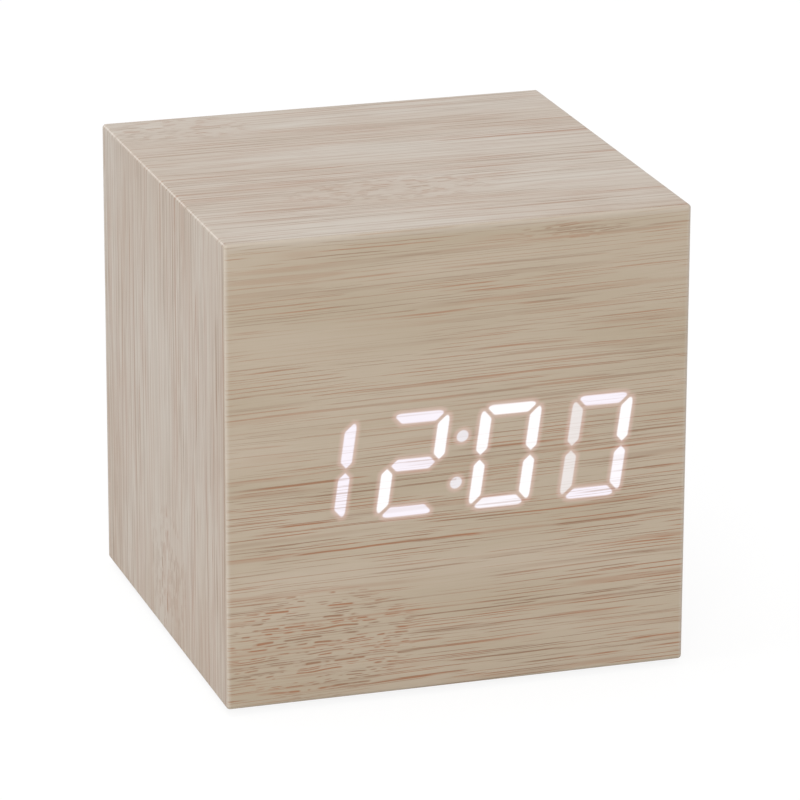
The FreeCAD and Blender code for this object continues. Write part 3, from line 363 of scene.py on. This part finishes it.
displayLook = {
    "strength": 1.0,
    "segmentColour": (255, 253, 254),
    "mauveColour": (247, 240, 248),
    "dimColour": (232, 225, 222),
    "dotColour": (233, 228, 231),
    "haloColour": (242, 200, 194),
    "unlitColour": (20, 20, 20),  # of the film under the glow, which hides it
    "softEdge": 0.16,
    "roundness": 0.3,
    "haloReach": 0.75,
    "haloShare": 0.32,
    # shares of mauve in the last digit's low half and in the other digits' low bars
    "lowMauve": 0.5,
    "lowBarMauve": 0.6,
    # how much of the film's grain shows through a plain segment and through a mauve one
    "plainGrain": 0.15,
    "mauveGrain": 0.5,
}
# sizes of the digits, as the solids have them
display = {
    "middle": 31.6, "pitch": 12.38, "slope": 0.138, "halfWidth": 4.13, "halfHeight": 6.925,
    "upright": 1.58, "bar": 1.44, "middleBar": 1.62, "uprightShift": 0.2, "barShift": 0.38,
    "gap": 0.24, "barGap": 0.4, "apexShare": 0.46, "dotRadius": 0.82, "dotSpacing": 3.1,
    "edgeCut": 0.95, "mitreCut": 0.5, "turnIn": 0.19, "turnBack": 0.56,
}
far = 50.0  # takes a part of the field out of reach


def edgePlane(a, b, start, end):  # distance out of the line from start to end, whose inside is on its left
    run, rise = end[0] - start[0], end[1] - start[1]
    length = math.hypot(run, rise)
    acrossPart, upPart = rise / length, -run / length
    return a * acrossPart + b * upPart - (start[0] * acrossPart + start[1] * upPart)


def outlineField(a, b, corners):  # corners run anticlockwise; the last edge leads back to the first corner
    ends = corners[1:] + corners[:1]
    edges = [edgePlane(a, b, *pair) for pair in zip(corners, ends)]
    return fold("SMOOTH_MAX", edges, displayLook["roundness"])


def displayGlow(graph, x, z, dark):
    # u and v lie across and up the slanted digits, a and b in one of them; w and h are its half sizes
    s, look = display, displayLook
    w, h = s["halfWidth"], s["halfHeight"]
    v = z - s["middle"]
    u = x - v * s["slope"]
    digit = (u / s["pitch"]).maths("FLOOR")
    across = u - (digit + 0.5) * s["pitch"]
    a, b = abs(across), abs(v)
    apex = s["apexShare"] * s["upright"]
    inner, tip = w - s["upright"], h - s["uprightShift"]
    upright = outlineField(a, b, [
        (w, s["gap"] + apex), (w, tip - s["edgeCut"]), (w - s["turnIn"], tip - s["turnBack"]),
        (w - s["mitreCut"], tip - s["mitreCut"]), (inner, tip - s["upright"]),
        (inner, s["gap"] + s["upright"] - apex), (w - apex, s["gap"]),
    ])
    tip = w - s["barShift"]
    bar = outlineField(a, b, [
        (-far, h - s["bar"]), (tip - s["bar"], h - s["bar"]), (tip - s["mitreCut"], h - s["mitreCut"]),
        (tip - s["turnBack"], h - s["turnIn"]), (tip - s["edgeCut"], h), (-far, h),
    ])
    tip, thick = w - apex - s["barGap"], s["middleBar"] / 2
    middleBar = outlineField(a, b, [(-far, -far), (tip, 0), (tip - thick, thick), (-far, thick)])
    # digits count -2, -1, 0, 1 from the left and read 1, 2, 0, 0
    first, second, fourth = digit < -1.5, (digit > -1.5) * (digit < -0.5), digit > 0.5
    rightSide, diagonalSide = across > 0.0, (across * v) > 0.0
    uprightLit = larger(digit > -0.5, first * rightSide, second * diagonalSide)
    inside = abs(u) < 2 * s["pitch"]
    uprights = upright + (1 - uprightLit * inside) * far
    bars = bar + (1 - (1 - first) * inside) * far
    middles = middleBar + (1 - second) * far
    dotX, dotZ = x - v * s["slope"], b - s["dotSpacing"]
    dots = (dotX * dotX + dotZ * dotZ).maths("SQRT") - s["dotRadius"]
    segments = smaller(uprights, bars, middles)
    distance = smaller(segments, dots)
    core = distance.fade(look["softEdge"], -look["softEdge"])
    halo = distance.fade(look["haloReach"], 0.0) * look["haloShare"]
    onBar = smaller(bars, middles) < uprights
    low = v < 0.0
    lowBar, lowUpright = (1 - second) * onBar * low * look["lowBarMauve"], fourth * low * look["lowMauve"]
    mauve = larger(first, second * onBar, fourth * onBar, lowBar, lowUpright)
    dim = fourth * (1 - rightSide) * (1 - onBar)
    tone = graph.mix(mauve, look["segmentColour"], look["mauveColour"])
    tone = graph.mix(dim, tone, look["dimColour"])
    tone = graph.mix(dots < segments, tone, look["dotColour"])
    grain = dark * blend(mauve, look["plainGrain"], look["mauveGrain"])
    tone = graph.mix(grain, tone, frontColours["line"])
    tone = graph.mix(core, look["haloColour"], tone)
    return larger(core, halo), tone


dress(("front_film", "lit_segments"), woodFilm("frontFilm", True))
dress(("wrap_film",), woodFilm("wrapFilm", False))
print("film dressed")


# Every other piece: a look has two colours that a noise mixes, a roughness, and a fine relief.
# Sizes in millimetres. A zone gives part of a piece a look of its own.

plainLook = {
    "colour": (128, 128, 128), "second": (120, 120, 120), "mottle": 3.0, "stretch": (1, 1, 1),
    "roughness": 0.5, "spread": 0.08, "grain": 0.25, "relief": 0.004, "metal": 0.0,
}
mottleLevels = (0.3, 0.7)


def surfaceOf(graph, x, y, z, look):
    look = {**plainLook, **look}
    sx, sy, sz = look["stretch"]
    where = graph.vector(x / sx, y / sy, z / sz)
    fine = graph.noise(where, 1 / look["grain"])
    mottle = graph.noise(where, 1 / look["mottle"]).fade(*mottleLevels)
    base = graph.mix(mottle, look["colour"], look["second"])
    roughness = fine * look["spread"] + (look["roughness"] - look["spread"] / 2)
    return base, roughness, look["metal"], fine * look["relief"]


def paint(nodeNames, look, *zones):
    graph = Graph(nodeNames[0] + "Look")
    x, y, z = graph.place()
    base, roughness, metal, relief = surfaceOf(graph, x, y, z, look)
    for maskOf, zoneLook in zones:
        mask = maskOf(x, y, z)
        zoneBase, zoneRoughness, zoneMetal, zoneRelief = surfaceOf(graph, x, y, z, zoneLook)
        base = graph.mix(mask, base, zoneBase)
        roughness, relief = blend(mask, roughness, zoneRoughness), blend(mask, relief, zoneRelief)
        if zoneMetal != metal:
            metal = blend(mask, metal, zoneMetal)
    dress(nodeNames, graph.finish(bump=relief, Base_Color=base, Roughness=roughness, Metallic=metal))


# Boards, blocks and pads of the case

fibreboardLook = {
    "colour": (178, 146, 106), "second": (160, 127, 88), "mottle": 0.9, "stretch": (1.6, 1.6, 1),
    "roughness": 0.85, "grain": 0.18, "relief": 0.03,
}
blockLook = {
    "colour": (214, 186, 140), "second": (192, 158, 108), "mottle": 0.8, "stretch": (1, 14, 1),
    "roughness": 0.75, "grain": 0.2, "relief": 0.02,
}
padLook = {
    "colour": (38, 38, 40), "second": (28, 28, 30), "mottle": 0.6, "roughness": 0.9, "grain": 0.2,
    "relief": 0.03,
}
paint(("front_panel", "top_panel", "bottom_panel", "left_panel", "right_panel"), fibreboardLook)
paint(("corner_blocks",), blockLook)
paint(("anti_slip_pads",), padLook)

# Display stack

diffuserLook = {
    "colour": (240, 240, 236), "second": (232, 233, 230), "mottle": 6.0, "roughness": 0.55,
    "grain": 0.1,
}
reflectorLook = {"colour": (238, 238, 234), "second": (230, 230, 226), "mottle": 9.0, "roughness": 0.45}
guideLook = {
    "colour": (226, 229, 228), "second": (216, 220, 220), "mottle": 2.0, "roughness": 0.3,
    "relief": 0.002,
}
ledLook = {"colour": (240, 238, 230), "second": (232, 229, 220), "mottle": 0.7, "roughness": 0.4}
phosphorLook = {
    "colour": (240, 208, 86), "second": (228, 190, 62), "mottle": 0.3, "roughness": 0.35,
    "grain": 0.08,
}
paint(("diffuser_sheet",), diffuserLook)
paint(("reflector_block",), reflectorLook)
paint(("segment_light_guides",), guideLook)
ledFace, phosphorDepth = box("led_chips")[0].y, 0.1
paint(("led_chips",), ledLook, (lambda x, y, z: y < ledFace + phosphorDepth, phosphorLook))

# Circuit boards, with copper traces under a green lacquer

boardLook = {
    "colour": (20, 88, 56), "second": (16, 78, 50), "mottle": 8.0, "roughness": 0.32, "grain": 0.4,
    "relief": 0.003,
}
traceLook = {
    "colour": (48, 122, 76), "second": (42, 112, 70), "mottle": 5.0, "roughness": 0.3,
    "relief": 0.02,
}
traces = {"pitch": 1.9, "width": 0.36, "run": 11.0, "chance": 0.5, "uprightSeed": 1.0, "levelSeed": 7.0}


def traceMask(x, y, z):
    width = traces["width"] / 2

    def rows(across, along, seed):
        row = across.nearest(traces["pitch"])
        chance = x.graph.noise(x.graph.vector(row * rowStep, along / traces["run"], seed))
        return (across.beat(traces["pitch"]) < width) * (chance > traces["chance"])

    return larger(rows(x, z, traces["uprightSeed"]), rows(z, x, traces["levelSeed"]))


paint(("display_board", "button_board"), boardLook, (traceMask, traceLook))

# Chips: black bodies with a dot at the first leg, and tinned legs beyond the body's sides

epoxyLook = {
    "colour": (40, 40, 42), "second": (34, 34, 36), "mottle": 2.0, "roughness": 0.55, "grain": 0.12,
}
tinLook = {
    "colour": (196, 198, 200), "second": (184, 186, 190), "mottle": 0.8, "roughness": 0.35,
    "metal": 1.0,
}
dotLook = {"colour": (92, 92, 94), "second": (84, 84, 86), "mottle": 0.5, "roughness": 0.5}
chipWidths = {"clock_chip": 7.5, "voice_chip": 3.9, "driver_chip": 3.9}
dotInset, dotSize = 0.9, 0.3
clearance = 0.02  # from a zone's edge to the solid's own edge


def dressChip(nodeName, width):
    low, high = box(nodeName)
    middle = (low.z + high.z) / 2
    dotX, dotZ = low.x + dotInset, middle - width / 2 + dotInset

    def legs(x, y, z):
        return abs(z - middle) > width / 2 + clearance

    def dot(x, y, z):
        a, b = x - dotX, z - dotZ
        return (a * a + b * b) < dotSize * dotSize

    paint((nodeName,), epoxyLook, (legs, tinLook), (dot, dotLook))


for nodeName, width in chipWidths.items():
    dressChip(nodeName, width)

# Small parts of the boards

steelLook = {
    "colour": (190, 192, 194), "second": (176, 178, 182), "mottle": 1.5, "roughness": 0.32,
    "metal": 1.0,
}
zincLook = {
    **steelLook, "colour": (178, 180, 178), "second": (162, 165, 166), "roughness": 0.42,
    "grain": 0.15,
}
aluminiumLook = {**steelLook, "colour": (206, 208, 210), "second": (196, 198, 201), "stretch": (1, 8, 1)}
ceramicLook = {"colour": (236, 234, 228), "second": (226, 223, 216), "mottle": 0.6, "roughness": 0.5}
glazeLook = {"colour": (44, 44, 48), "second": (36, 36, 40), "mottle": 0.6, "roughness": 0.25}
capacitorLow, capacitorHigh = box("filter_capacitors")
resistorLow, resistorHigh = box("chip_resistors")
capacitorMiddle = (capacitorLow.z + capacitorHigh.z) / 2
resistorMiddle = (resistorLow.z + resistorHigh.z) / 2
partSizes = {
    "capacitorBase": 0.8, "bandDepth": 0.05, "bandStart": 0.7, "resistorEnd": 0.62, "resistorGlaze": 0.12,
}
paint(("clock_crystal",), {**steelLook, "stretch": (8, 1, 1)})


def capacitorBaseMask(x, y, z):
    return y < capacitorLow.y + partSizes["capacitorBase"] + clearance


def capacitorBandMask(x, y, z):
    return (y > capacitorHigh.y - partSizes["bandDepth"]) * (z > capacitorMiddle + partSizes["bandStart"])


paint(("filter_capacitors",), aluminiumLook, (capacitorBaseMask, epoxyLook), (capacitorBandMask, epoxyLook))
paint(
    ("chip_resistors",), ceramicLook,
    (lambda x, y, z: y > resistorHigh.y - partSizes["resistorGlaze"], glazeLook),
    (lambda x, y, z: abs(z - resistorMiddle) > partSizes["resistorEnd"], tinLook),
)
blackScrewLook = {
    **steelLook, "colour": (62, 62, 64), "second": (52, 52, 55), "roughness": 0.4, "metal": 0.8,
}
paint(("cover_screws",), blackScrewLook)
paint(("display_board_screws", "button_board_screws"), zincLook)

# Rear cover, battery door and buttons

coverLook = {
    "colour": (36, 36, 38), "second": (31, 31, 33), "mottle": 7.0, "roughness": 0.58, "grain": 0.28,
    "relief": 0.02,
}
buttonLook = {
    "colour": (44, 44, 47), "second": (38, 38, 41), "mottle": 3.0, "roughness": 0.36,
    "relief": 0.003,
}
switchLook = {"colour": (32, 32, 34), "second": (27, 27, 29), "mottle": 1.5, "roughness": 0.45}
stemLook = {"colour": (120, 62, 50), "second": (108, 54, 44), "mottle": 1.0, "roughness": 0.4}
switchFace, switchPlate = box("set_switch")[1].y, 0.3
paint(("rear_cover", "battery_door"), coverLook)
paint(("set_button", "up_button", "down_button"), buttonLook)
paint(
    ("set_switch", "up_switch", "down_switch"), switchLook,
    (lambda x, y, z: y > switchFace - switchPlate, steelLook),
)
paint(("set_switch_stem", "up_switch_stem", "down_switch_stem"), stemLook)

# Power socket and microphone

giltLook = {
    "colour": (214, 176, 92), "second": (204, 164, 80), "mottle": 0.5, "roughness": 0.28,
    "metal": 1.0,
}
feltLook = {
    "colour": (30, 30, 32), "second": (22, 22, 24), "mottle": 0.3, "roughness": 0.95, "grain": 0.08,
    "relief": 0.02,
}
tongueLow = box("usb_socket_tongue")[0]
microphoneLow, microphoneHigh = box("microphone")
contactPitch, contactWidth, contactStart, canRim, feltDepth = 1.3, 0.35, 1.0, 0.3, 0.5
microphoneX = (microphoneLow.x + microphoneHigh.x) / 2
microphoneZ = (microphoneLow.z + microphoneHigh.z) / 2
microphoneReach = (microphoneHigh.x - microphoneLow.x) / 2 - canRim


def feltMask(x, y, z):
    a, b = x - microphoneX, z - microphoneZ
    return ((a * a + b * b) < microphoneReach * microphoneReach) * (y > microphoneHigh.y - feltDepth)


def contactMask(x, y, z):
    return ((x - tongueLow.x).beat(contactPitch) < contactWidth) * (y > tongueLow.y + contactStart)


paint(("usb_socket_shell",), {**steelLook, "roughness": 0.24})
paint(("usb_socket_tongue",), switchLook, (contactMask, giltLook))
paint(("microphone",), aluminiumLook, (feltMask, feltLook))

# Speaker

coneLook = {"colour": (66, 62, 58), "second": (56, 53, 50), "mottle": 1.5, "roughness": 0.35, "grain": 0.3}
frameLook = {"colour": (52, 52, 55), "second": (45, 45, 48), "mottle": 4.0, "roughness": 0.45}
coilLook = {
    "colour": (196, 116, 62), "second": (150, 82, 40), "mottle": 0.12, "stretch": (40, 1, 40),
    "roughness": 0.35, "metal": 1.0, "grain": 0.1, "relief": 0.02,
}
paint(("speaker_cone",), coneLook)
paint(("speaker_frame",), frameLook)
paint(("speaker_magnet",), {**steelLook, "colour": (170, 172, 176), "second": (156, 158, 163)})
paint(("voice_coil",), coilLook)
paint(("speaker_gasket",), feltLook)

# Leads and ribbon

blackLeadLook = {"colour": (34, 34, 36), "second": (28, 28, 30), "mottle": 2.0, "roughness": 0.42}
redLeadLook = {"colour": (176, 34, 32), "second": (160, 28, 28), "mottle": 2.0, "roughness": 0.42}
greyLeadLook = {"colour": (206, 204, 198), "second": (194, 192, 186), "mottle": 2.0, "roughness": 0.45}
ribbonLook = {"colour": (182, 184, 188), "second": (174, 176, 181), "mottle": 5.0, "roughness": 0.45}
grooveLook = {"colour": (140, 142, 147), "second": (132, 134, 140), "mottle": 5.0, "roughness": 0.5}
socketLook = {"colour": (234, 228, 210), "second": (226, 219, 199), "mottle": 3.0, "roughness": 0.45}
redLeadPlace = {"leftOf": -16.5, "above": 38.0}
wirePitch, grooveWidth = 1.0, 0.14
ribbonLeft = box("ribbon_cable")[0].x
paint(
    ("battery_leads",), blackLeadLook,
    (lambda x, y, z: (x < redLeadPlace["leftOf"]) * (z > redLeadPlace["above"]), redLeadLook),
)
paint(("speaker_leads",), greyLeadLook)
paint(
    ("ribbon_cable",), ribbonLook,
    (lambda x, y, z: (x - ribbonLeft) < wirePitch, redLeadLook),
    (lambda x, y, z: (x - ribbonLeft).beat(wirePitch) < grooveWidth, grooveLook),
)
paint(("ribbon_sockets",), socketLook)

# Cells, with a plain wrap, a pale band and steel ends, and their nickel contacts

wrapLook = {"colour": (44, 74, 104), "second": (38, 66, 95), "mottle": 9.0, "roughness": 0.3, "grain": 0.5}
bandLook = {
    "colour": (198, 200, 202), "second": (188, 190, 193), "mottle": 6.0, "roughness": 0.3,
    "metal": 0.6,
}
nickelLook = {**steelLook, "colour": (204, 203, 198), "second": (190, 189, 184), "roughness": 0.28}
cellSizes = {"bareNegative": 0.5, "barePositive": 1.5, "bandEnd": 8.0}


def dressCell(nodeName, positiveRight):
    low, high = box(nodeName)

    def depth(x):  # from the positive end
        return high.x - x if positiveRight else x - low.x

    length = high.x - low.x

    def band(x, y, z):
        return depth(x) < cellSizes["bandEnd"]

    def ends(x, y, z):
        return larger(depth(x) < cellSizes["barePositive"], depth(x) > length - cellSizes["bareNegative"])

    paint((nodeName,), wrapLook, (band, bandLook), (ends, steelLook))


dressCell("lower_battery", False)
dressCell("middle_battery", True)
dressCell("upper_battery", False)
contactNames = ("positive_contact", "negative_contact", "left_bridge_contact", "right_bridge_contact")
springNames = ("lower_battery_spring", "middle_battery_spring", "upper_battery_spring")
paint(contactNames + springNames, nickelLook)
print("other pieces dressed")


# Camera, light, floor

cameraLook = {
    "place": (-0.19596, -0.61677, 0.2441),
    "azimuth": 17.765,
    "elevation": -18.298,
    "roll": 0.198,
    "lens": 230.73,
    "sensor": 36,
    "nearest": 0.01,
    "farthest": 50,
}


def placeCamera():
    camera = bpy.data.objects.new("camera", bpy.data.cameras.new("camera"))
    bpy.context.scene.collection.objects.link(camera)
    azimuth, elevation = math.radians(cameraLook["azimuth"]), math.radians(cameraLook["elevation"])
    turn = Matrix.Rotation(-azimuth, 4, "Z") @ Matrix.Rotation(math.radians(90) + elevation, 4, "X")
    turn = turn @ Matrix.Rotation(math.radians(cameraLook["roll"]), 4, "Z")
    camera.matrix_world = Matrix.Translation(cameraLook["place"]) @ turn
    camera.data.sensor_width = cameraLook["sensor"]
    camera.data.lens = cameraLook["lens"]
    camera.data.clip_start = cameraLook["nearest"]
    camera.data.clip_end = cameraLook["farthest"]
    bpy.context.scene.camera = camera


# lamps: place and size in metres, and power in watts; each looks at the middle of the body
lampLook = {
    "key": ((-0.5, -1.3, 0.75), 0.7, 9.0),
    "top": ((-0.2, 0.1, 1.4), 0.9, 6.0),
    "left": ((-1.3, -0.1, 0.5), 0.8, 3.0),
}
worldLook = {"colour": (255, 255, 255), "strength": 0.55, "seenStrength": 1.0}
# the camera sees the floor's seenColour plus its lift, and other light meets its colour
floorLook = {
    "size": 6.0, "drop": 0.05, "colour": (236, 236, 236), "seenColour": (104, 104, 104),
    "lift": 0.88,
}


def placeLamps():
    for name, (place, size, strength) in lampLook.items():
        data = bpy.data.lights.new(name + "Lamp", "AREA")
        data.size = size
        data.energy = strength
        lamp = bpy.data.objects.new(name + "Lamp", data)
        bpy.context.scene.collection.objects.link(lamp)
        aim = Vector((0, 0, topZ * millimetre / 2)) - Vector(place)
        lamp.rotation_euler = aim.to_track_quat("-Z", "Y").to_euler()
        lamp.location = place


def paintWorld():
    world = bpy.data.worlds.new("studio")
    world.use_nodes = True
    bpy.context.scene.world = world
    tree = world.node_tree
    tree.nodes.clear()
    path = tree.nodes.new("ShaderNodeLightPath")
    background = tree.nodes.new("ShaderNodeBackground")
    output = tree.nodes.new("ShaderNodeOutputWorld")
    strength = tree.nodes.new("ShaderNodeMapRange")
    background.inputs["Color"].default_value = colour(worldLook["colour"])
    strength.inputs["To Min"].default_value = worldLook["strength"]
    strength.inputs["To Max"].default_value = worldLook["seenStrength"]
    seen = path.outputs["Is Camera Ray"]
    for ray in ("Is Glossy Ray", "Is Transmission Ray"):
        added = tree.nodes.new("ShaderNodeMath")
        added.operation = "ADD"
        added.use_clamp = True
        tree.links.new(seen, added.inputs[0])
        tree.links.new(path.outputs[ray], added.inputs[1])
        seen = added.outputs[0]
    tree.links.new(seen, strength.inputs["Value"])
    tree.links.new(strength.outputs[0], background.inputs["Strength"])
    tree.links.new(background.outputs[0], output.inputs["Surface"])


def layFloor():
    form = bmesh.new()
    bmesh.ops.create_grid(form, x_segments=1, y_segments=1, size=floorLook["size"] / 2)
    mesh = bpy.data.meshes.new("studioFloor")
    form.to_mesh(mesh)
    form.free()
    floor = bpy.data.objects.new("studioFloor", mesh)
    floor.location.z = -floorLook["drop"] * millimetre  # clear of the pads' faces
    bpy.context.scene.collection.objects.link(floor)
    graph = Graph("studioFloor")
    seen = graph.node("LightPath", output="Is Camera Ray")
    glow = {"Color": graph.mix(seen, (0, 0, 0), (255, 255, 255)), "Strength": floorLook["lift"]}
    matt = {"Color": graph.mix(seen, floorLook["colour"], floorLook["seenColour"])}
    shaders = {0: graph.node("BsdfDiffuse", {}, matt), 1: graph.node("Emission", {}, glow)}
    graph.node("OutputMaterial", {}, {"Surface": graph.node("AddShader", {}, shaders)})
    mesh.materials.append(graph.material)


placeCamera()
placeLamps()
paintWorld()
layFloor()
bpy.context.scene.view_settings.view_transform = "Standard"
print("studio set")
